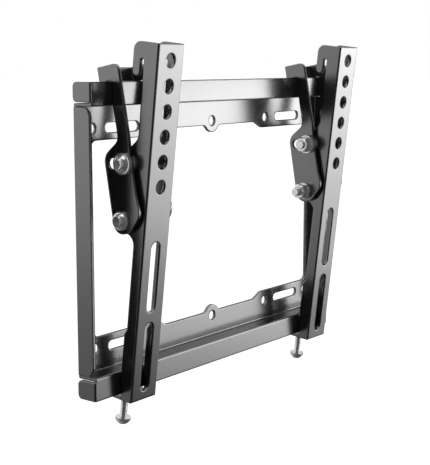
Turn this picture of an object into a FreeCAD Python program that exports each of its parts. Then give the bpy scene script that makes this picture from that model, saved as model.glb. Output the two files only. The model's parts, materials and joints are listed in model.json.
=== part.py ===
import FreeCAD, Part
import math
import os
from FreeCAD import Placement, Rotation, Vector

# Low tilting wall mount for a screen, lengths in millimetres and angles in degrees.
# X runs along the rails, Y runs into the wall, Z is up.
# The origin is the centre of the wall plate, on the wall's surface.

os.makedirs("parts", exist_ok=True)

# Sheet steel of the wall plate, the arms and the hooks
sheet = 2.0
bend_inside = 0.3
bend_outside = 1.0

# How far cutting shapes run past the faces they cut
over = 1.0

# Wall plate
plate_width = 263.0
web_level = 81.8
lip_front = 14.6
lip_height = 14.5
side_flange_depth = 13.4
side_flange_top_radius = 5.5
side_flange_bottom_chamfer = 5.0
side_flange_bottom_setback = 3.0
fold_gap = 0.6
tab_corner_radius = 3.0
tab_wall_gap = 0.2

# Window and the strips above and below it
window_half_width = 118.8
window_corner_radius = 5.0
strip_end_level = 60.7
strip_mid_level = 65.0
ramp_outer_x = 58.5
ramp_inner_x = 50.0
ramp_radius = 4.0
centre_boss_radius = 7.8
centre_boss_fillet = 4.5

# Holes in the strips
strip_hole_level = 68.1
strip_hole_radius = 3.25
centre_hole_radius = 3.4
inboard_hole_x = 63.1
outboard_hole_x = 117.4
slot_centre_x = 90.5
slot_length = 31.0
slot_half_width = 3.0

# Arms, the upright channels that carry the screen, as they stand on the rails in the photograph
# The insets put them 200 apart, the spacing of the screen's holes
left_arm_inset = 34.0
right_arm_inset = 29.0
arm_width = 23.3
arm_length = 220.8
arm_tilt = 6.5
top_flange_depth = 10.4
waist_flange_depth = 8.0
foot_flange_depth = 9.9
foot_relief_depth = 8.4
foot_relief_top = 12.4
foot_reach = 20.0
foot_drop = 4.9
foot_lip_gap = 0.3
foot_step_height = 43.0
foot_step_rise = 3.5
foot_edge_radius = 0.5
foot_corner_radius = 2.0
step_radius = 2.0
tab_side_gap = 0.3

# Finger and slit at the top of each arm
finger_depth = 19.0
finger_front = 13.3
finger_tip_level = 200.4
slit_front = 10.7
slit_top_level = 211.0
finger_top_radius = 5.2
finger_tip_radius = 2.7
slit_radius = 1.2

# Screen holes and slots in the arm's front face
screen_hole_radius = 4.25
screen_hole_top = 211.0
screen_hole_pitch = 15.1
screen_hole_count = 6
screen_slot_ends = ((57.2, 101.6), (5.9, 50.4))

# Ears of the arm, which hold the bolts
ear_edge = 6.5
ear_bottom_margin = 7.9
ear_shoulder = 9.4
ear_fillet = 7.0
ear_rear_rise = 19.5

# Hooks, the brackets that hang on the top lip
hook_lean = 10.5
hook_roof_gap = 0.3
hook_front_gap = 0.3
hook_rear_gap = 2.6
hook_web_clearance = 0.5
hook_reach = 83.3
pivot_ahead = 6.1
hook_front = 15.5
hook_waist_front = 14.4
hook_lobe_front = 15.1
hook_head_rear = 1.75
hook_head_rise = 9.3
hook_head_radius = 4.2
neck_rear = 6.9
body_rear_top = 6.5
body_rear_low = 7.1
body_top = 40.4
neck_foot = 47.6
head_split = 55.6
lobe_bottom = 8.25
lobe_toe = 5.2
waist_top = 38.3
waist_bottom = 13.0
lobe_shoulder = 6.0
lobe_corner = 0.9
neck_step = 2.0
front_sweep_radius = 20.0
waist_sweep_radius = 14.0
lobe_shoulder_radius = 6.0
lobe_corner_radius = 9.0
lobe_toe_radius = 9.0
body_bottom_radius = 7.2
body_top_radius = 8.0
neck_foot_radius = 6.0
hook_edge_radius = 1.0
hook_small_radius = 0.8

# Bolts, nuts and washers
bolt_radius = 3.0
running_gap = 0.05
side_gap = 0.15
clamp_pitch = 34.8
clamp_offset = 1.0
clamp_slot_gap = 0.25
clamp_slot_sweep = 16.8
bolt_head_radius = 5.25
bolt_head_flat_radius = 3.3
bolt_head_height = 3.1
bolt_head_rim = 0.7
bolt_head_edge = 0.25
bolt_head_swell = 0.3
bolt_tip_chamfer = 0.6
socket_across_flats = 4.0
socket_depth = 2.0
washer_hole_gap = 0.2
clamp_washer_radius = 6.5
clamp_washer_thickness = 1.45
pivot_washer_radius = 5.9
pivot_washer_thickness = 1.4
spacer_radius = 5.5
spacer_thickness = 1.6
nut_across_flats = 10.0
nut_height = 5.4
nut_collar_height = 0.6
nut_collar_radius = 4.8
nut_collar_chamfer = 0.3
nut_bevel = 0.8
nut_bevel_slope = 1.7
clamp_bolt_stickout = 1.8
pivot_bolt_stickout = 4.9

# Safety screws, up through the foot tabs behind the bottom lip
screw_radius = 2.4
screw_length = 20.0
screw_inset = 15.7
screw_tip_rise = 3.8
screw_head_radius = 5.1
screw_head_rim = 0.9
screw_head_height = 4.7
screw_tip_chamfer = 0.5

lip_top = web_level + lip_height
half_width = plate_width / 2.0


def wire_with_corners(corners):
    """Closed wire through (point, radius) pairs, each corner rounded by its radius."""
    count = len(corners)
    ends = []
    for index in range(count):
        before = corners[index - 1][0]
        point, radius = corners[index]
        after = corners[(index + 1) % count][0]
        back = (before - point).normalize()
        ahead = (after - point).normalize()
        half = back.getAngle(ahead) / 2.0
        if radius <= 0.0 or half > math.radians(89.5):
            ends.append((point, None, point))
            continue
        reach = radius / math.tan(half)
        bisector = (back + ahead).normalize()
        centre = point + bisector * (radius / math.sin(half))
        middle = centre - bisector * radius
        ends.append((point + back * reach, middle, point + ahead * reach))
    edges = []
    for index in range(count):
        start, middle, end = ends[index]
        if middle is not None:
            edges.append(Part.Arc(start, middle, end).toShape())
        following = ends[(index + 1) % count][0]
        if end.distanceToPoint(following) > 1e-6:
            edges.append(Part.LineSegment(end, following).toShape())
    return Part.Wire(edges)


def prism_x(outline, x_start, x_end):
    """Solid from a (y, z, radius) outline, between two x values."""
    wire = wire_with_corners([(Vector(x_start, y, z), r) for y, z, r in outline])
    return Part.Face(wire).extrude(Vector(x_end - x_start, 0, 0))


def prism_y(outline, y_start, y_end):
    """Solid from an (x, z, radius) outline, between two y values."""
    wire = wire_with_corners([(Vector(x, y_start, z), r) for x, z, r in outline])
    return Part.Face(wire).extrude(Vector(0, y_end - y_start, 0))


def prism_z(outline, z_start, z_end):
    """Solid from an (x, y, radius) outline, between two z values."""
    wire = wire_with_corners([(Vector(x, y, z_start), r) for x, y, r in outline])
    return Part.Face(wire).extrude(Vector(0, 0, z_end - z_start))


def box(x0, x1, y0, y1, z0, z1):
    return Part.makeBox(x1 - x0, y1 - y0, z1 - z0, Vector(x0, y0, z0))


def rod_x(radius, x_start, x_end, y, z):
    return Part.makeCylinder(radius, x_end - x_start, Vector(x_start, y, z), Vector(1, 0, 0))


def rod_y(radius, y_start, y_end, x, z):
    return Part.makeCylinder(radius, y_end - y_start, Vector(x, y_start, z), Vector(0, 1, 0))


def slot_y(x_low, x_high, z_low, z_high, y_start, y_end):
    """Round-ended slot cut along y, from its outer limits."""
    radius = min(x_high - x_low, z_high - z_low) / 2.0
    outline = (
        (x_low, z_low, radius),
        (x_high, z_low, radius),
        (x_high, z_high, radius),
        (x_low, z_high, radius),
    )
    return prism_y(outline, y_start, y_end)


def mirrored_x(shape):
    return shape.mirror(Vector(0, 0, 0), Vector(1, 0, 0))


def mirrored_z(shape):
    return shape.mirror(Vector(0, 0, 0), Vector(0, 0, 1))


def one_solid(shape):
    """The single solid of a boolean's result, with its split faces merged."""
    return shape.removeSplitter().Solids[0]


# Wall plate: one sheet with a window, folded rails above and below, and folded sides

def rail_fold():
    """Strip, web and lip of the top rail, as one folded section."""
    length = half_width - bend_outside
    low = strip_end_level - window_corner_radius
    section = (
        (0.0, low, 0.0),
        (0.0, web_level + sheet, bend_outside),
        (sheet - lip_front, web_level + sheet, bend_inside),
        (sheet - lip_front, lip_top, 0.0),
        (-lip_front, lip_top, 0.0),
        (-lip_front, web_level, bend_outside),
        (-sheet, web_level, bend_inside),
        (-sheet, low, 0.0),
    )
    return prism_x(section, -length, length)


def lip_and_end_tabs():
    """Upper part of the lip, folded back to the wall at both ends."""
    plan = (
        (-half_width, -tab_wall_gap, 0.0),
        (-half_width, -lip_front, bend_outside),
        (half_width, -lip_front, bend_outside),
        (half_width, -tab_wall_gap, 0.0),
        (half_width - sheet, -tab_wall_gap, 0.0),
        (half_width - sheet, sheet - lip_front, bend_inside),
        (sheet - half_width, sheet - lip_front, bend_inside),
        (sheet - half_width, -tab_wall_gap, 0.0),
    )
    low = web_level + sheet + fold_gap
    ring = prism_z(plan, low, lip_top)
    side_view = (
        (-tab_wall_gap, low, tab_corner_radius),
        (-tab_wall_gap, lip_top, tab_corner_radius),
        (-lip_front - over, lip_top, 0.0),
        (-lip_front - over, low, 0.0),
    )
    return ring.common(prism_x(side_view, -half_width - over, half_width + over))


def side_fold():
    """Right stile with its flange folded forward."""
    top = web_level - fold_gap
    inner = window_half_width - window_corner_radius
    plan = (
        (inner, 0.0, 0.0),
        (half_width, 0.0, bend_outside),
        (half_width, -side_flange_depth, 0.0),
        (half_width - sheet, -side_flange_depth, 0.0),
        (half_width - sheet, -sheet, bend_inside),
        (inner, -sheet, 0.0),
    )
    side_view = (
        (0.0, -top, 0.0),
        (0.0, top, 0.0),
        (-side_flange_depth, top, side_flange_top_radius),
        (-side_flange_depth, side_flange_bottom_chamfer - top, 0.0),
        (side_flange_bottom_setback - side_flange_depth, -top, 0.0),
    )
    flange = prism_z(plan, -top, top)
    return flange.common(prism_x(side_view, 0.0, half_width + over))


def window_half():
    """Upper half of the window, with ramps to the deeper ends and a round boss."""
    return (
        (window_half_width, 0.0, 0.0),
        (window_half_width, strip_end_level, window_corner_radius),
        (ramp_outer_x, strip_end_level, ramp_radius),
        (ramp_inner_x, strip_mid_level, ramp_radius),
        (-ramp_inner_x, strip_mid_level, ramp_radius),
        (-ramp_outer_x, strip_end_level, ramp_radius),
        (-window_half_width, strip_end_level, window_corner_radius),
        (-window_half_width, 0.0, 0.0),
    )


def centre_boss():
    """Round boss of the strip about the centre hole, faired into the strip's edge."""
    drop = strip_hole_level - strip_mid_level
    span = math.sqrt((centre_boss_radius + centre_boss_fillet) ** 2 - (drop + centre_boss_fillet) ** 2)
    boss = rod_y(centre_boss_radius, -sheet, 0.0, 0.0, strip_hole_level)
    skirt = box(-span, span, -sheet, 0.0, strip_mid_level - centre_boss_fillet, strip_mid_level)
    touch = centre_boss_radius / (centre_boss_radius + centre_boss_fillet)
    low = strip_hole_level - (drop + centre_boss_fillet) * touch
    skirt = skirt.cut(box(-span, span, -sheet, 0.0, strip_mid_level - centre_boss_fillet, low))
    for side in (-1.0, 1.0):
        hollow = rod_y(centre_boss_fillet, -sheet, 0.0, side * span, strip_mid_level - centre_boss_fillet)
        skirt = skirt.cut(hollow)
    return boss.fuse(skirt).common(box(-span, span, -sheet, 0.0, 0.0, strip_hole_level))


def strip_cutters():
    """Holes and slots of the top strip."""
    y_start = -sheet - over
    cutters = [rod_y(centre_hole_radius, y_start, over, 0.0, strip_hole_level)]
    for side in (-1.0, 1.0):
        for x in (inboard_hole_x, outboard_hole_x):
            cutters.append(rod_y(strip_hole_radius, y_start, over, side * x, strip_hole_level))
        low = side * slot_centre_x - slot_length / 2.0
        bottom = strip_hole_level - slot_half_width
        top = strip_hole_level + slot_half_width
        cutters.append(slot_y(low, low + slot_length, bottom, top, y_start, over))
    return Part.Compound(cutters)


def wall_plate():
    rail = rail_fold().fuse(lip_and_end_tabs())
    shape = rail.fuse(mirrored_z(rail))
    shape = shape.fuse([side_fold(), mirrored_x(side_fold())])
    window = prism_y(window_half(), -sheet - over, over)
    shape = shape.cut(window.fuse(mirrored_z(window)))
    shape = shape.fuse([centre_boss(), mirrored_z(centre_boss())])
    holes = strip_cutters()
    return one_solid(shape.cut([holes, mirrored_z(holes)]))


# Positions at the photographed tilt

tilt = math.radians(arm_tilt)
lean = math.radians(hook_lean)
pivot_y = -lip_front - pivot_ahead
pivot_z = lip_top + hook_roof_gap - hook_reach
base_z = -lip_top - foot_drop
relief_corner_y = foot_relief_top * math.sin(tilt) - foot_flange_depth * math.cos(tilt)
base_y = -lip_front - foot_lip_gap + relief_corner_y
arm_place = Placement(Vector(0, base_y, base_z), Rotation(Vector(1, 0, 0), arm_tilt))
hook_place = Placement(Vector(0, pivot_y, pivot_z), Rotation(Vector(1, 0, 0), -hook_lean))
pivot_in_arm = arm_place.inverse().multVec(Vector(0, pivot_y, pivot_z))
clamp_in_arm = pivot_in_arm + Vector(0, clamp_offset, clamp_pitch)
clamp_point = arm_place.multVec(clamp_in_arm)
clamp_in_hook = hook_place.inverse().multVec(clamp_point)


# Arm: one channel, made upright about x = 0 with its front face on y = 0

def arm_outline():
    """Side view of the arm's flanges as (y, z, radius)."""
    ear_bottom = pivot_in_arm.z - ear_bottom_margin
    ear_rear = clamp_in_arm.y + ear_edge
    shoulder = clamp_in_arm.y + clamp_in_arm.z + ear_shoulder
    return (
        (0.0, 0.0, bend_outside),
        (foot_relief_depth, 0.0, 0.0),
        (foot_flange_depth, foot_relief_top, 0.0),
        (foot_flange_depth, foot_step_height, step_radius),
        (waist_flange_depth, foot_step_height + foot_step_rise, step_radius),
        (waist_flange_depth, ear_bottom, ear_fillet),
        (pivot_in_arm.y + ear_edge, ear_bottom, ear_edge),
        (ear_rear, ear_bottom + ear_rear_rise, ear_edge),
        (ear_rear, shoulder - ear_rear, ear_edge),
        (top_flange_depth, shoulder - top_flange_depth, ear_fillet),
        (slit_front, slit_top_level, slit_radius),
        (finger_front, slit_top_level, slit_radius),
        (finger_front, finger_tip_level, finger_tip_radius),
        (finger_depth, finger_tip_level, finger_tip_radius),
        (finger_depth, arm_length, finger_top_radius),
        (0.0, arm_length, 0.0),
    )


def arm_channel():
    """Front face and both flanges as one folded section."""
    half = arm_width / 2.0
    deep = finger_depth + foot_reach
    section = (
        (-half, deep, 0.0),
        (-half, 0.0, bend_outside),
        (half, 0.0, bend_outside),
        (half, deep, 0.0),
        (half - sheet, deep, 0.0),
        (half - sheet, sheet, bend_inside),
        (sheet - half, sheet, bend_inside),
        (sheet - half, deep, 0.0),
    )
    return prism_z(section, 0.0, arm_length)


def foot_tab():
    """Tab folded rearwards from the bottom of the front face, between the flanges and wider behind them."""
    narrow = arm_width / 2.0 - sheet - tab_side_gap
    wide = arm_width / 2.0
    shoulder = foot_relief_depth + tab_side_gap
    section = (
        (0.0, foot_step_height, 0.0),
        (0.0, 0.0, bend_outside),
        (foot_reach, 0.0, foot_edge_radius),
        (foot_reach, sheet, 0.0),
        (sheet, sheet, bend_inside),
        (sheet, foot_step_height, 0.0),
    )
    plan = (
        (-narrow, 0.0, 0.0),
        (narrow, 0.0, 0.0),
        (narrow, shoulder, 0.0),
        (wide, shoulder, foot_edge_radius),
        (wide, foot_reach, foot_corner_radius),
        (-wide, foot_reach, foot_corner_radius),
        (-wide, shoulder, foot_edge_radius),
        (-narrow, shoulder, 0.0),
    )
    return prism_x(section, -wide, wide).common(prism_z(plan, 0.0, foot_step_height))


def arm():
    half = arm_width / 2.0
    shape = arm_channel().common(prism_x(arm_outline(), -half - over, half + over))
    shape = shape.fuse(foot_tab())
    cutters = []
    for index in range(screen_hole_count):
        level = screen_hole_top - index * screen_hole_pitch
        cutters.append(rod_y(screen_hole_radius, -over, sheet + over, 0.0, level))
    for low, high in screen_slot_ends:
        cutters.append(slot_y(-screen_hole_radius, screen_hole_radius, low, high, -over, sheet + over))
    for point in (pivot_in_arm, clamp_in_arm):
        cutters.append(rod_x(bolt_radius + running_gap, -half - over, half + over, point.y, point.z))
    thread = Part.makeCylinder(screw_radius + running_gap, sheet + 2.0 * over, Vector(0, screw_inset, -over))
    cutters.append(thread)
    return one_solid(shape.cut(cutters))


# Hook: one sheet folded to a U, made upright about x = 0 with the pivot at the origin

hook_inside = arm_width + 2.0 * (spacer_thickness + side_gap)
hook_half = hook_inside / 2.0 + sheet


def in_hook(y, z):
    """A point given at the photographed pose, in the hook's own frame."""
    point = hook_place.inverse().multVec(Vector(0, y, z))
    return point.y, point.z


def hook_outline():
    """Side view of the hook's plates as (y, z, radius)."""
    head_top = hook_reach / math.cos(lean) + hook_head_rise - neck_rear * math.tan(lean)
    slot_front_low = in_hook(-lip_front - hook_front_gap, web_level + hook_edge_radius)
    slot_front_high = in_hook(-lip_front - hook_front_gap, lip_top + hook_roof_gap)
    slot_rear_high = in_hook(sheet - lip_front + hook_rear_gap, lip_top + hook_roof_gap)
    slot_rear_low = in_hook(sheet - lip_front + hook_rear_gap, web_level + sheet + hook_web_clearance)
    head_low = slot_rear_low[1] + (hook_head_rear - slot_rear_low[0]) * math.tan(lean)
    return (
        (hook_head_rear, head_top, hook_small_radius),
        (-hook_front, head_top, hook_head_radius),
        (-hook_front, neck_foot, front_sweep_radius),
        (-hook_waist_front, waist_top, front_sweep_radius),
        (-hook_waist_front, waist_bottom, waist_sweep_radius),
        (-hook_lobe_front, lobe_shoulder, lobe_shoulder_radius),
        (-hook_lobe_front, lobe_corner, lobe_corner_radius),
        (-lobe_toe, -lobe_bottom, lobe_toe_radius),
        (body_rear_low, -lobe_bottom, body_bottom_radius),
        (body_rear_top, body_top, body_top_radius),
        (-neck_rear, neck_foot, neck_foot_radius),
        (-neck_rear, slot_front_low[1] - neck_step, hook_edge_radius),
        (slot_front_low[0], slot_front_low[1], hook_edge_radius),
        (slot_front_high[0], slot_front_high[1], hook_small_radius),
        (slot_rear_high[0], slot_rear_high[1], hook_small_radius),
        (slot_rear_low[0], slot_rear_low[1], hook_edge_radius),
        (hook_head_rear, head_low, hook_edge_radius),
    )


def clamp_slot():
    """Arc slot about the pivot, from the clamp bolt's place rearwards."""
    radius = math.hypot(clamp_in_hook.y, clamp_in_hook.z)
    half_wide = bolt_radius + clamp_slot_gap
    start = math.atan2(clamp_in_hook.z, clamp_in_hook.y)
    end = start - math.radians(clamp_slot_sweep)
    middle = (start + end) / 2.0

    def polar(distance, angle):
        return Vector(-hook_half - over, distance * math.cos(angle), distance * math.sin(angle))

    def cap(angle, sign):
        centre = polar(radius, angle)
        beyond = Vector(0, -math.sin(angle), math.cos(angle)) * (sign * half_wide)
        return centre + beyond

    outer = radius + half_wide
    inner = radius - half_wide
    edges = [
        Part.Arc(polar(outer, start), polar(outer, middle), polar(outer, end)).toShape(),
        Part.Arc(polar(outer, end), cap(end, -1.0), polar(inner, end)).toShape(),
        Part.Arc(polar(inner, end), polar(inner, middle), polar(inner, start)).toShape(),
        Part.Arc(polar(inner, start), cap(start, 1.0), polar(outer, start)).toShape(),
    ]
    return Part.Face(Part.Wire(edges)).extrude(Vector(2.0 * (hook_half + over), 0, 0))


def hook():
    plates = prism_x(hook_outline(), -hook_half, hook_half)
    inside = hook_half - sheet
    far = 2.0 * hook_reach
    lower = plates.common(box(-hook_half, hook_half, -far, far, -far, head_split))
    lower = lower.cut(box(-inside, inside, -far, far, -far, head_split + over))
    upper = plates.cut(box(-hook_half, hook_half, -far, far, -far, head_split))
    hollow_plan = (
        (-inside, -hook_front - over, 0.0),
        (inside, -hook_front - over, 0.0),
        (inside, hook_head_rear - sheet, bend_inside),
        (-inside, hook_head_rear - sheet, bend_inside),
    )
    upper = upper.cut(prism_z(hollow_plan, head_split - over, far))
    rounded_plan = (
        (-hook_half, -hook_front - over, 0.0),
        (hook_half, -hook_front - over, 0.0),
        (hook_half, hook_head_rear, bend_outside),
        (-hook_half, hook_head_rear, bend_outside),
    )
    upper = upper.common(prism_z(rounded_plan, head_split - over, far))
    shape = lower.fuse(upper)
    pivot_hole = rod_x(bolt_radius + running_gap, -hook_half - over, hook_half + over, 0.0, 0.0)
    return one_solid(shape.cut([pivot_hole, clamp_slot()]))


# Fasteners, made along x for the left arm, with the bolt heads on the left

def ring(outer, inner, x_start, thickness, point):
    washer = rod_x(outer, x_start, x_start + thickness, point.y, point.z)
    return washer.cut(rod_x(inner, x_start - over, x_start + thickness + over, point.y, point.z))


def hexagon(across_flats, x, y, z):
    corner = across_flats / math.sqrt(3.0)
    points = []
    for index in range(6):
        angle = math.radians(60.0 * index + 30.0)
        points.append(Vector(x, y + corner * math.sin(angle), z + corner * math.cos(angle)))
    points.append(points[0])
    return Part.Face(Part.makePolygon(points))


def round_head(x_seat, point):
    """Low round head with a hexagon socket, seated at x and facing left."""
    top = x_seat - bolt_head_height
    profile = [
        Vector(x_seat, 0, 0),
        Vector(x_seat, bolt_head_radius, 0),
        Vector(x_seat - bolt_head_rim, bolt_head_radius, 0),
        Vector(top + bolt_head_edge, bolt_head_flat_radius + bolt_head_edge, 0),
        Vector(top, bolt_head_flat_radius, 0),
        Vector(top, 0, 0),
    ]
    shoulder = (profile[2] + profile[3]) * 0.5 + Vector(-bolt_head_swell, bolt_head_swell, 0)
    edges = [
        Part.LineSegment(profile[0], profile[1]).toShape(),
        Part.LineSegment(profile[1], profile[2]).toShape(),
        Part.Arc(profile[2], shoulder, profile[3]).toShape(),
        Part.LineSegment(profile[3], profile[4]).toShape(),
        Part.LineSegment(profile[4], profile[5]).toShape(),
        Part.LineSegment(profile[5], profile[0]).toShape(),
    ]
    head = Part.Face(Part.Wire(edges)).revolve(Vector(0, 0, 0), Vector(1, 0, 0), 360)
    head.translate(Vector(0, point.y, point.z))
    socket = hexagon(socket_across_flats, top - over, point.y, point.z)
    return head.cut(socket.extrude(Vector(socket_depth + over, 0, 0)))


def bolt(x_seat, x_end, point):
    chamfer = bolt_tip_chamfer
    foot = Vector(x_end - chamfer, point.y, point.z)
    tip = Part.makeCone(bolt_radius, bolt_radius - chamfer, chamfer, foot, Vector(1, 0, 0))
    shank = rod_x(bolt_radius, x_seat, foot.x, point.y, point.z)
    return one_solid(round_head(x_seat, point).fuse([shank, tip]))


def nut(x_seat, point):
    """Hexagon nut with a low locking collar, seated at x and facing right."""
    top = x_seat + nut_height
    body = hexagon(nut_across_flats, x_seat, point.y, point.z).extrude(Vector(nut_height, 0, 0))
    small = nut_across_flats / math.sqrt(3.0) - nut_bevel
    base = Vector(x_seat, point.y, point.z)
    bevel = Part.makeCone(small + nut_height * nut_bevel_slope, small, nut_height, base, Vector(1, 0, 0))
    rim = top + nut_collar_height - nut_collar_chamfer
    collar = rod_x(nut_collar_radius, top, rim, point.y, point.z)
    edge_radius = nut_collar_radius - nut_collar_chamfer
    edge_base = Vector(rim, point.y, point.z)
    edge = Part.makeCone(nut_collar_radius, edge_radius, nut_collar_chamfer, edge_base, Vector(1, 0, 0))
    shape = body.common(bevel).fuse([collar, edge])
    bore = rod_x(bolt_radius + running_gap, x_seat - over, top + nut_collar_height + over, point.y, point.z)
    return one_solid(shape.cut(bore))


def bolt_stack(point, washer_radius, washer_thickness, washer_count, stickout):
    """Bolt, washers, spacers and nut through one ear, along the left arm's x = 0."""
    hole = bolt_radius + washer_hole_gap
    seat = hook_half + side_gap
    outside = []
    inside = []
    for index in range(washer_count):
        step = index * washer_thickness
        outside.append(ring(washer_radius, hole, -seat - step - washer_thickness, washer_thickness, point))
        inside.append(ring(washer_radius, hole, seat + step, washer_thickness, point))
    spacers = []
    for start in (-arm_width / 2.0 - spacer_thickness, arm_width / 2.0):
        spacers.append(ring(spacer_radius, hole, start, spacer_thickness, point))
    head_seat = -seat - washer_count * washer_thickness
    nut_seat = -head_seat
    end = nut_seat + nut_height + nut_collar_height + stickout
    return {
        "bolt": bolt(head_seat, end, point),
        "nut": nut(nut_seat, point),
        "head_washer": Part.Compound(outside),
        "nut_washer": Part.Compound(inside),
        "spacers": Part.Compound(spacers),
    }


def safety_screw():
    """Pan head screw up through the foot tab, along the arm's own upright."""
    seat = screw_tip_rise - screw_length
    chamfer = screw_tip_chamfer
    shank = Part.makeCylinder(screw_radius, screw_length - chamfer, Vector(0, screw_inset, seat))
    tip_foot = Vector(0, screw_inset, screw_tip_rise - chamfer)
    tip = Part.makeCone(screw_radius, screw_radius - chamfer, chamfer, tip_foot)
    rim = Part.makeCylinder(screw_head_radius, screw_head_rim, Vector(0, screw_inset, seat - screw_head_rim))
    depth = screw_head_height - screw_head_rim
    sphere_radius = (screw_head_radius ** 2 + depth ** 2) / (2.0 * depth)
    centre = Vector(0, screw_inset, seat - screw_head_height + sphere_radius)
    dome = Part.makeSphere(sphere_radius, centre)
    slab = Part.makeCylinder(screw_head_radius, depth, Vector(0, screw_inset, seat - screw_head_height))
    return one_solid(shank.fuse([tip, rim, dome.common(slab)]))


def export(name, shape):
    shape.exportStep("parts/" + name + ".step")
    size = shape.BoundBox
    print(name, "solids", len(shape.Solids), "valid", shape.isValid(), "volume", round(shape.Volume, 1),
          "box", round(size.XLength, 1), round(size.YLength, 1), round(size.ZLength, 1))


def placed(shape, placement, x):
    """A copy turned and moved to its pose, then moved along the rail."""
    copy = shape.copy()
    copy.Placement = placement.multiply(copy.Placement)
    copy.translate(Vector(x, 0, 0))
    return copy


def side_parts():
    """Every piece of the left arm, about x = 0 in the arm's or the hook's own frame."""
    clamp = bolt_stack(clamp_in_arm, clamp_washer_radius, clamp_washer_thickness, 2, clamp_bolt_stickout)
    pivot = bolt_stack(pivot_in_arm, pivot_washer_radius, pivot_washer_thickness, 1, pivot_bolt_stickout)
    pieces = [("arm", arm(), arm_place), ("hook", hook(), hook_place)]
    for name, shape in clamp.items():
        pieces.append(("clamp_" + name, shape, arm_place))
    for name, shape in pivot.items():
        pieces.append(("pivot_" + name, shape, arm_place))
    pieces.append(("safety_screw", safety_screw(), arm_place))
    return pieces


export("wall_plate", wall_plate())
for name, shape, placement in side_parts():
    export("left_" + name, placed(shape, placement, left_arm_inset - half_width))
    export("right_" + name, placed(mirrored_x(shape), placement, half_width - right_arm_inset))
print("pivot", round(pivot_y, 3), round(pivot_z, 3), "clamp", clamp_point)
print("arm base", round(base_y, 3), round(base_z, 3), "pivot in arm", pivot_in_arm)
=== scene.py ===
import json
import math

import bmesh
import bpy
from mathutils import Matrix, Vector


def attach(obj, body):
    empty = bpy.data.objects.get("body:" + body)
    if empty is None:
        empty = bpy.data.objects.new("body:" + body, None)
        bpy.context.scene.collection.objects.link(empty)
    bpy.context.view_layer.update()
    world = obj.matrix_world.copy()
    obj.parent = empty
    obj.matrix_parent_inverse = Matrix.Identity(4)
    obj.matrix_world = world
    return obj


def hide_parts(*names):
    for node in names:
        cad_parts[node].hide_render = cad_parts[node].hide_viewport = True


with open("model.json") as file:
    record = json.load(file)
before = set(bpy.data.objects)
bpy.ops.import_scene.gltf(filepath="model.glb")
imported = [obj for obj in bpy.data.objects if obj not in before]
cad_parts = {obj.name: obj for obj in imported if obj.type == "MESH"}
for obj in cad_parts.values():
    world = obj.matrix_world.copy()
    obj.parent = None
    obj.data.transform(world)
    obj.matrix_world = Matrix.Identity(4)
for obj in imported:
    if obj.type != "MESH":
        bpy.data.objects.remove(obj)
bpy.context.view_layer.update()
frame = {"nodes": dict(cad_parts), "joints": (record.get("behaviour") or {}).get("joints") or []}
nodes = frame["nodes"]
print("frame loaded", len(nodes))

sides = ("left", "right")


# Shader helpers

def newMaterial(name):
    material = bpy.data.materials.new(name)
    material.use_nodes = True
    tree = material.node_tree
    tree.nodes.clear()
    output = tree.nodes.new("ShaderNodeOutputMaterial")
    surface = tree.nodes.new("ShaderNodeBsdfPrincipled")
    tree.links.new(surface.outputs["BSDF"], output.inputs["Surface"])
    return material, tree, surface


def addNode(tree, kind, **settings):
    node = tree.nodes.new(kind)
    for key, value in settings.items():
        setattr(node, key, value)
    return node


def addNoise(tree, coords, scale, detail):
    noise = addNode(tree, "ShaderNodeTexNoise")
    tree.links.new(scale, noise.inputs["Scale"])
    tree.links.new(detail, noise.inputs["Detail"])
    tree.links.new(coords, noise.inputs["Vector"])
    return noise.outputs["Fac"]


def addMath(tree, operation, *values):
    node = addNode(tree, "ShaderNodeMath", operation=operation)
    for socket, value in zip(node.inputs, values):
        if isinstance(value, float):
            socket.default_value = value
        else:
            tree.links.new(value, socket)
    return node.outputs["Value"]


# Mottle of both metals: fine grain between two greys and wider patches between two roughnesses

mottleColours = ("low", "high")
mottleNumbers = ("smoothest", "roughest", "grainScale", "grainDetail", "patchScale", "patchDetail")

mottle = bpy.data.node_groups.new("mottle", "ShaderNodeTree")
mottle.interface.new_socket(name="position", in_out="INPUT", socket_type="NodeSocketVector")
for name in mottleColours:
    mottle.interface.new_socket(name=name, in_out="INPUT", socket_type="NodeSocketColor")
for name in mottleNumbers:
    mottle.interface.new_socket(name=name, in_out="INPUT", socket_type="NodeSocketFloat")
mottle.interface.new_socket(name="colour", in_out="OUTPUT", socket_type="NodeSocketColor")
mottle.interface.new_socket(name="roughness", in_out="OUTPUT", socket_type="NodeSocketFloat")
mottle.interface.new_socket(name="grain", in_out="OUTPUT", socket_type="NodeSocketFloat")
given = addNode(mottle, "NodeGroupInput").outputs
result = addNode(mottle, "NodeGroupOutput").inputs
grain = addNoise(mottle, given["position"], given["grainScale"], given["grainDetail"])
patch = addNoise(mottle, given["position"], given["patchScale"], given["patchDetail"])
tint = addNode(mottle, "ShaderNodeMix", data_type="RGBA")
mottle.links.new(grain, tint.inputs["Factor"])
mottle.links.new(given["low"], tint.inputs["A"])
mottle.links.new(given["high"], tint.inputs["B"])
mottle.links.new(tint.outputs["Result"], result["colour"])
span = addNode(mottle, "ShaderNodeMapRange")
mottle.links.new(patch, span.inputs["Value"])
mottle.links.new(given["smoothest"], span.inputs["To Min"])
mottle.links.new(given["roughest"], span.inputs["To Max"])
mottle.links.new(span.outputs["Result"], result["roughness"])
mottle.links.new(grain, result["grain"])


def addMottle(tree, surface, finish):
    node = addNode(tree, "ShaderNodeGroup", node_tree=mottle)
    tree.links.new(addNode(tree, "ShaderNodeTexCoord").outputs["Object"], node.inputs["position"])
    for name in mottleColours:
        node.inputs[name].default_value = (*finish[name], 1.0)
    for name in mottleNumbers:
        node.inputs[name].default_value = finish[name]
    tree.links.new(node.outputs["colour"], surface.inputs["Base Color"])
    tree.links.new(node.outputs["roughness"], surface.inputs["Roughness"])
    return node.outputs["grain"]


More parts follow.
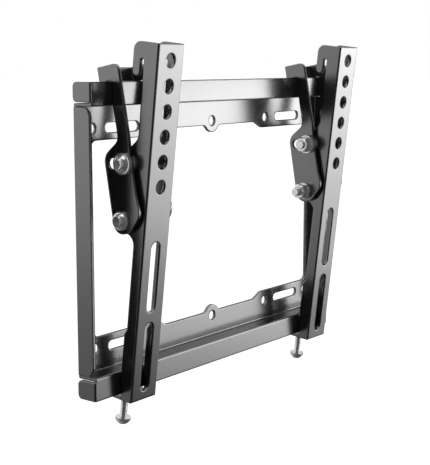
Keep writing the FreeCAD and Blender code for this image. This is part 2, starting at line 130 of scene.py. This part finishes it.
# Black coated steel of the plate, the arms and the hooks

coatedSteel = {
    "low": (0.19, 0.19, 0.19),
    "high": (0.22, 0.22, 0.218),
    "smoothest": 0.2,
    "roughest": 0.24,
    "grainScale": 900.0,
    "grainDetail": 2.0,
    "patchScale": 40.0,
    "patchDetail": 3.0,
    "metallic": 0.97,
    "bump": 0.00006,
    "bumpStrength": 0.25,
    "rounding": 0.0013,
    "roundingSamples": 8,
}

coat, tree, surface = newMaterial("coatedSteel")
grain = addMottle(tree, surface, coatedSteel)
surface.inputs["Metallic"].default_value = coatedSteel["metallic"]
rounding = addNode(tree, "ShaderNodeBevel", samples=coatedSteel["roundingSamples"])
rounding.inputs["Radius"].default_value = coatedSteel["rounding"]
bump = addNode(tree, "ShaderNodeBump")
bump.inputs["Strength"].default_value = coatedSteel["bumpStrength"]
bump.inputs["Distance"].default_value = coatedSteel["bump"]
tree.links.new(grain, bump.inputs["Height"])
tree.links.new(rounding.outputs["Normal"], bump.inputs["Normal"])
tree.links.new(bump.outputs["Normal"], surface.inputs["Normal"])


# Zinc plated steel of the bolts, nuts, washers and screws

zincPlated = {
    "low": (0.84, 0.84, 0.83),
    "high": (0.92, 0.92, 0.905),
    "smoothest": 0.18,
    "roughest": 0.24,
    "grainScale": 260.0,
    "grainDetail": 3.0,
    "patchScale": 260.0,
    "patchDetail": 3.0,
    "metallic": 0.8,
}

zinc, tree, surface = newMaterial("zincPlatedSteel")
addMottle(tree, surface, zincPlated)
surface.inputs["Metallic"].default_value = zincPlated["metallic"]

for name, node in nodes.items():
    node.data.materials.clear()
    coated = name == "wall_plate" or name.endswith("_arm") or name.endswith("_hook")
    node.data.materials.append(coat if coated else zinc)
print("materials on the frame")


# Bolts and safety screws with their threads, turned about the axes of the plain ones in the frame

around = 48
threadSteps = 6.0
threadSlope = 1.6
threadRoot = 0.3
rimSteps = 6
faceSteps = 6
domeSteps = 8
sharpAngle = 30.0
leastSine = 0.001

boltForm = {
    "headRadius": 0.00525,
    "headHeight": 0.0031,
    "headRim": 0.0007,
    "headSwell": 0.0001,
    "faceRadius": 0.0029,
    "faceEdge": 0.0007,
    "socketHalfWidth": 0.0021,
    "socketDepth": 0.0018,
    "shank": 0.003,
    "chamfer": 0.0004,
    "pitch": 0.001,
    "threadDepth": 0.0005,
    "threadLength": 0.018,
}

screwForm = {
    "headRadius": 0.0051,
    "headHeight": 0.0047,
    "headRim": 0.0008,
    "faceLevel": 0.0004,
    "faceRadius": 0.0027,
    "crossReach": 0.0025,
    "crossHalfWidth": 0.0006,
    "crossDepth": 0.0016,
    "crossLip": 0.0001,
    "crossFootReach": 0.6,
    "crossFootWidth": 0.8,
    "shank": 0.0024,
    "chamfer": 0.0004,
    "pitch": 0.0008,
    "threadDepth": 0.0004,
    "threadLength": 0.0195,
}


def circle(radius):
    return [radius] * around


def hexagon(halfWidth):
    sector = math.pi / 3.0
    angles = [2.0 * math.pi * index / around % sector for index in range(around)]
    return [halfWidth / math.cos(angle - sector / 2.0) for angle in angles]


def cross(reach, halfWidth):
    radii = []
    for index in range(around):
        angle = 2.0 * math.pi * index / around
        nearest = min(abs(math.sin(angle)), abs(math.cos(angle)))
        radii.append(min(reach, halfWidth / max(nearest, leastSine)))
    return radii


# Thread with flat roots and crests and a chamfered tip
def threadRings(form, length):
    rings = [(length - form["threadLength"], circle(form["shank"]))]
    steps = round(form["threadLength"] / form["pitch"] * threadSteps)
    for step in range(1, steps):
        level = length - form["threadLength"] * (1.0 - step / steps)
        limit = min(form["shank"], length - level + form["shank"] - form["chamfer"])
        radii = []
        for index in range(around):
            phase = (level / form["pitch"] - index / around) % 1.0
            height = min(max(threadSlope * abs(2.0 * phase - 1.0) - threadRoot, 0.0), 1.0)
            radii.append(min(limit, form["shank"] - form["threadDepth"] * (1.0 - height)))
        rings.append((level, radii))
    rings.append((length, circle(form["shank"] - form["chamfer"])))
    return rings


def boltRings(form, length):
    socket = hexagon(form["socketHalfWidth"])
    rings = [(form["socketDepth"], socket), (0.0, socket)]
    for step in range(rimSteps):
        turn = math.pi / 2.0 * step / rimSteps
        rings.append((form["faceEdge"] * (1.0 - math.cos(turn)),
                      circle(form["faceRadius"] + form["faceEdge"] * math.sin(turn))))
    inner = form["faceRadius"] + form["faceEdge"]
    outer = form["headRadius"]
    low = form["faceEdge"]
    high = form["headHeight"] - form["headRim"]
    for step in range(faceSteps + 1):
        share = step / faceSteps
        swell = form["headSwell"] * 4.0 * share * (1.0 - share)
        rings.append((low + (high - low) * share - swell, circle(inner + (outer - inner) * share + swell)))
    rings.append((form["headHeight"], circle(outer)))
    rings.append((form["headHeight"], circle(form["shank"])))
    return rings + threadRings(form, length)


def screwRings(form, length):
    foot = cross(form["crossReach"] * form["crossFootReach"], form["crossHalfWidth"] * form["crossFootWidth"])
    mouth = cross(form["crossReach"], form["crossHalfWidth"])
    rings = [(form["crossDepth"], foot), (form["faceLevel"] - form["crossLip"], mouth)]
    low = form["faceLevel"]
    high = form["headHeight"] - form["headRim"]
    for step in range(domeSteps + 1):
        share = step / domeSteps
        widening = (form["headRadius"] - form["faceRadius"]) * math.sin(math.pi / 2.0 * share)
        rings.append((low + (high - low) * share, circle(form["faceRadius"] + widening)))
    rings.append((form["headHeight"], circle(form["headRadius"])))
    rings.append((form["headHeight"], circle(form["shank"])))
    return rings + threadRings(form, length)


def addTurned(node, body, along, upward, makeRings, form):
    axes = (upward.cross(along), upward, along)
    points = [vertex.co for vertex in nodes[node].data.vertices]
    lows = [min(point.dot(axis) for point in points) for axis in axes]
    highs = [max(point.dot(axis) for point in points) for axis in axes]
    place = Matrix(axes).transposed().to_4x4()
    centre = (axes[0] * (lows[0] + highs[0]) + axes[1] * (lows[1] + highs[1])) / 2.0
    place.translation = centre + axes[2] * lows[2]
    length = highs[2] - lows[2]
    rings = makeRings(form, length)
    mesh = bmesh.new()
    loops = []
    for level, radii in rings:
        loop = []
        for index, radius in enumerate(radii):
            angle = 2.0 * math.pi * index / around
            spot = Vector((radius * math.cos(angle), radius * math.sin(angle), level))
            loop.append(mesh.verts.new(place @ spot))
        loops.append(loop)
    first = mesh.verts.new(place @ Vector((0.0, 0.0, rings[0][0])))
    last = mesh.verts.new(place @ Vector((0.0, 0.0, length)))
    for index in range(around):
        after = (index + 1) % around
        mesh.faces.new((first, loops[0][after], loops[0][index]))
        mesh.faces.new((last, loops[-1][index], loops[-1][after]))
        for lower, upper in zip(loops, loops[1:]):
            mesh.faces.new((lower[index], lower[after], upper[after], upper[index]))
    bmesh.ops.recalc_face_normals(mesh, faces=mesh.faces)
    data = bpy.data.meshes.new(node + "_threaded")
    mesh.to_mesh(data)
    mesh.free()
    data.shade_smooth()
    data.set_sharp_from_angle(angle=math.radians(sharpAngle))
    piece = bpy.data.objects.new(node + "_threaded", data)
    bpy.context.scene.collection.objects.link(piece)
    data.materials.append(zinc)
    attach(piece, body)
    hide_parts(node)


joints = {joint["name"]: joint for joint in frame["joints"]}
for side in sides:
    upright = Vector(joints[side + "_safety_screw_travel"]["axis"]).normalized()
    inward = Vector((1.0 if side == "left" else -1.0, 0.0, 0.0))
    for kind in ("clamp", "pivot"):
        addTurned(side + "_" + kind + "_bolt", side + "_arm", inward, upright, boltRings, boltForm)
    screw = side + "_safety_screw"
    addTurned(screw, screw, upright, upright.cross(inward), screwRings, screwForm)
print("threads turned")


# Floor, world and lamps

scene = bpy.context.scene
scene.view_settings.view_transform = "Standard"

studio = {
    "floorLevel": -0.42,
    "floorSize": 60.0,
    "floorRoughness": 0.9,
    "floorGrey": 0.8,
    "floorSeen": 0.8,
    # Directions that reflections see painted dark, as the toward direction, start, full and darkest level
    "darkSides": (
        ((-0.76, -0.6, 0.0), 0.2, 0.68, 0.05),
        ((0.79, 0.61, 0.0), 0.88, 0.97, 0.05),
    ),
    "room": 0.4,
    # Painted light: reflections see the floor glow, growing with distance from the near to the far reach
    # given here
    "floorNear": 0.6,
    "floorFar": 4.5,
    "floorPaintedGlow": 0.62,
    # Centre and reach of a painted shade on the floor round the object, seen only in reflections
    "floorShade": (0.1, -0.2, -0.42),
    "floorDark": 0.15,
    "floorOpen": 0.66,
}


# Painted dark reflections: 1 all round and nearly 0 towards two sides of the studio, for a level unit
# direction; only reflections see these dark sides, nothing in the studio shades them
def addDarkSides(tree, direction):
    lit = 1.0
    for toward, start, full, darkest in studio["darkSides"]:
        facing = addNode(tree, "ShaderNodeVectorMath", operation="DOT_PRODUCT")
        facing.inputs[1].default_value = toward
        tree.links.new(direction, facing.inputs[0])
        shade = addNode(tree, "ShaderNodeMapRange", interpolation_type="SMOOTHSTEP")
        shade.inputs["From Min"].default_value = start
        shade.inputs["From Max"].default_value = full
        shade.inputs["To Min"].default_value = 1.0
        shade.inputs["To Max"].default_value = darkest
        tree.links.new(facing.outputs["Value"], shade.inputs["Value"])
        lit = addMath(tree, "MULTIPLY", lit, shade.outputs["Result"])
    return lit


bpy.ops.mesh.primitive_plane_add(size=studio["floorSize"], location=(0.0, 0.0, studio["floorLevel"]))
floor = bpy.context.object
floor.name = "floor"
pale, tree, surface = newMaterial("paleFloor")
surface.inputs["Roughness"].default_value = studio["floorRoughness"]
surface.inputs["Specular IOR Level"].default_value = 0.0
surface.inputs["Emission Color"].default_value = (1.0, 1.0, 1.0, 1.0)
lightPath = addNode(tree, "ShaderNodeLightPath")
position = addNode(tree, "ShaderNodeNewGeometry").outputs["Position"]
level = addNode(tree, "ShaderNodeVectorMath", operation="NORMALIZE")
tree.links.new(position, level.inputs[0])
distance = addNode(tree, "ShaderNodeVectorMath", operation="LENGTH")
tree.links.new(position, distance.inputs[0])
# Painted glow of the far floor, growing with distance, for reflections only
fade = addNode(tree, "ShaderNodeMapRange", interpolation_type="SMOOTHERSTEP")
fade.inputs["From Min"].default_value = studio["floorNear"]
fade.inputs["From Max"].default_value = studio["floorFar"]
fade.inputs["To Max"].default_value = studio["floorPaintedGlow"]
tree.links.new(distance.outputs["Value"], fade.inputs["Value"])
lit = addDarkSides(tree, level.outputs["Vector"])
# Painted shade: for reflections the floor is painted black round the object, fading out with distance, and
# darker towards the dark sides
apart = addNode(tree, "ShaderNodeVectorMath", operation="DISTANCE")
tree.links.new(position, apart.inputs[0])
apart.inputs[1].default_value = studio["floorShade"]
opening = addNode(tree, "ShaderNodeMapRange", interpolation_type="SMOOTHSTEP")
opening.inputs["From Min"].default_value = studio["floorDark"]
opening.inputs["From Max"].default_value = studio["floorOpen"]
tree.links.new(apart.outputs["Value"], opening.inputs["Value"])
unlit = addMath(tree, "SUBTRACT", 1.0, addMath(tree, "MULTIPLY", lit, opening.outputs["Result"]))
paintedShadeMask = addMath(tree, "MULTIPLY", unlit, lightPath.outputs["Is Glossy Ray"])
paint = addNode(tree, "ShaderNodeMix", data_type="RGBA")
paint.inputs["A"].default_value = (*[studio["floorGrey"]] * 3, 1.0)
paint.inputs["B"].default_value = (0.0, 0.0, 0.0, 1.0)
tree.links.new(paintedShadeMask, paint.inputs["Factor"])
tree.links.new(paint.outputs["Result"], surface.inputs["Base Color"])
# The camera sees the floor evenly white; reflections see it glow as painted light, more with distance and
# less towards the dark sides
seenLift = addMath(tree, "MULTIPLY", lightPath.outputs["Is Camera Ray"], studio["floorSeen"])
litFade = addMath(tree, "MULTIPLY", fade.outputs["Result"], lit)
paintedFarGlow = addMath(tree, "MULTIPLY", lightPath.outputs["Is Glossy Ray"], litFade)
tree.links.new(addMath(tree, "ADD", seenLift, paintedFarGlow), surface.inputs["Emission Strength"])
floor.data.materials.append(pale)

world = bpy.data.worlds.new("studio")
scene.world = world
world.use_nodes = True
tree = world.node_tree
tree.nodes.clear()
worldOut = addNode(tree, "ShaderNodeOutputWorld")
room = addNode(tree, "ShaderNodeBackground")
backdrop = addNode(tree, "ShaderNodeBackground")
mixed = addNode(tree, "ShaderNodeMixShader")
lightPath = addNode(tree, "ShaderNodeLightPath")
room.inputs["Color"].default_value = (1.0, 1.0, 1.0, 1.0)
room.inputs["Strength"].default_value = studio["room"]
backdrop.inputs["Color"].default_value = (1.0, 1.0, 1.0, 1.0)
# Painted dark reflections: reflections see the backdrop darker towards the dark sides, while the camera sees
# it evenly white
direction = addNode(tree, "ShaderNodeTexCoord").outputs["Generated"]
shade = addDarkSides(tree, direction)
glossy = addNode(tree, "ShaderNodeMix", data_type="FLOAT")
glossy.inputs["A"].default_value = 1.0
tree.links.new(lightPath.outputs["Is Glossy Ray"], glossy.inputs["Factor"])
tree.links.new(shade, glossy.inputs["B"])
tree.links.new(glossy.outputs["Result"], backdrop.inputs["Strength"])
seen = addMath(tree, "MAXIMUM", lightPath.outputs["Is Camera Ray"], lightPath.outputs["Is Glossy Ray"])
seenToo = addMath(tree, "MAXIMUM", seen, lightPath.outputs["Is Transmission Ray"])
tree.links.new(seenToo, mixed.inputs["Fac"])
tree.links.new(room.outputs[0], mixed.inputs[1])
tree.links.new(backdrop.outputs[0], mixed.inputs[2])
tree.links.new(mixed.outputs[0], worldOut.inputs["Surface"])


def addLamp(name, target, direction, distance, width, height, radiance):
    data = bpy.data.lights.new(name, "AREA")
    data.shape = "RECTANGLE"
    data.size = width
    data.size_y = height
    data.energy = radiance * math.pi * width * height
    lamp = bpy.data.objects.new(name, data)
    scene.collection.objects.link(lamp)
    away = Vector(direction).normalized()
    lamp.location = Vector(target) + away * distance
    lamp.rotation_euler = away.to_track_quat("Z", "Y").to_euler()


# The softbox fades downwards, so it is four panels, one above the other
softbox = {
    "direction": (0.78, -0.6, 0.0),
    "sideways": (0.61, 0.793, 0.0),
    "distance": 1.22,
    "right": 0.351,
    "left": (-0.25, -0.399, -0.399, -0.399),
    "edges": (0.12, -0.02, -0.14, -0.24, -0.41),
    "radiance": (4.3, 2.95, 2.38, 1.93),
}
topLight = {
    "direction": (-0.3, -0.2, 1.0),
    "distance": 1.6,
    "size": 0.8,
    "radiance": 1.0,
}

for index, radiance in enumerate(softbox["radiance"]):
    top, bottom = softbox["edges"][index:index + 2]
    left = softbox["left"][index]
    middle = Vector(softbox["sideways"]) * ((left + softbox["right"]) / 2.0)
    middle.z = (top + bottom) / 2.0
    addLamp("softbox%d" % index, middle, softbox["direction"], softbox["distance"],
            softbox["right"] - left, top - bottom, radiance)
addLamp("topLight", (0.0, 0.0, 0.0), topLight["direction"], topLight["distance"],
        topLight["size"], topLight["size"], topLight["radiance"])
print("stage set")


# Camera at the photograph's viewing angle

view = {
    "azimuth": -52.326,
    "elevation": 8.788,
    "back": 0.76522,
    "right": 0.003565,
    "up": -0.00935,
    "focalLength": 1102.901,
    "pictureHeight": 465.0,
    "sensor": 36.0,
    "near": 0.01,
    "far": 50.0,
}

azimuth = math.radians(view["azimuth"])
elevation = math.radians(view["elevation"])
flat = math.cos(elevation)
back = Vector((math.sin(azimuth) * flat, -math.cos(azimuth) * flat, math.sin(elevation)))
right = Vector((math.cos(azimuth), math.sin(azimuth), 0.0))
up = back.cross(right)
cameraData = bpy.data.cameras.new("camera")
cameraData.sensor_width = view["sensor"]
cameraData.lens = view["focalLength"] / view["pictureHeight"] * view["sensor"]
cameraData.clip_start = view["near"]
cameraData.clip_end = view["far"]
camera = bpy.data.objects.new("camera", cameraData)
scene.collection.objects.link(camera)
camera.location = back * view["back"] + right * view["right"] + up * view["up"]
camera.rotation_euler = Matrix((right, up, back)).transposed().to_euler()
scene.camera = camera
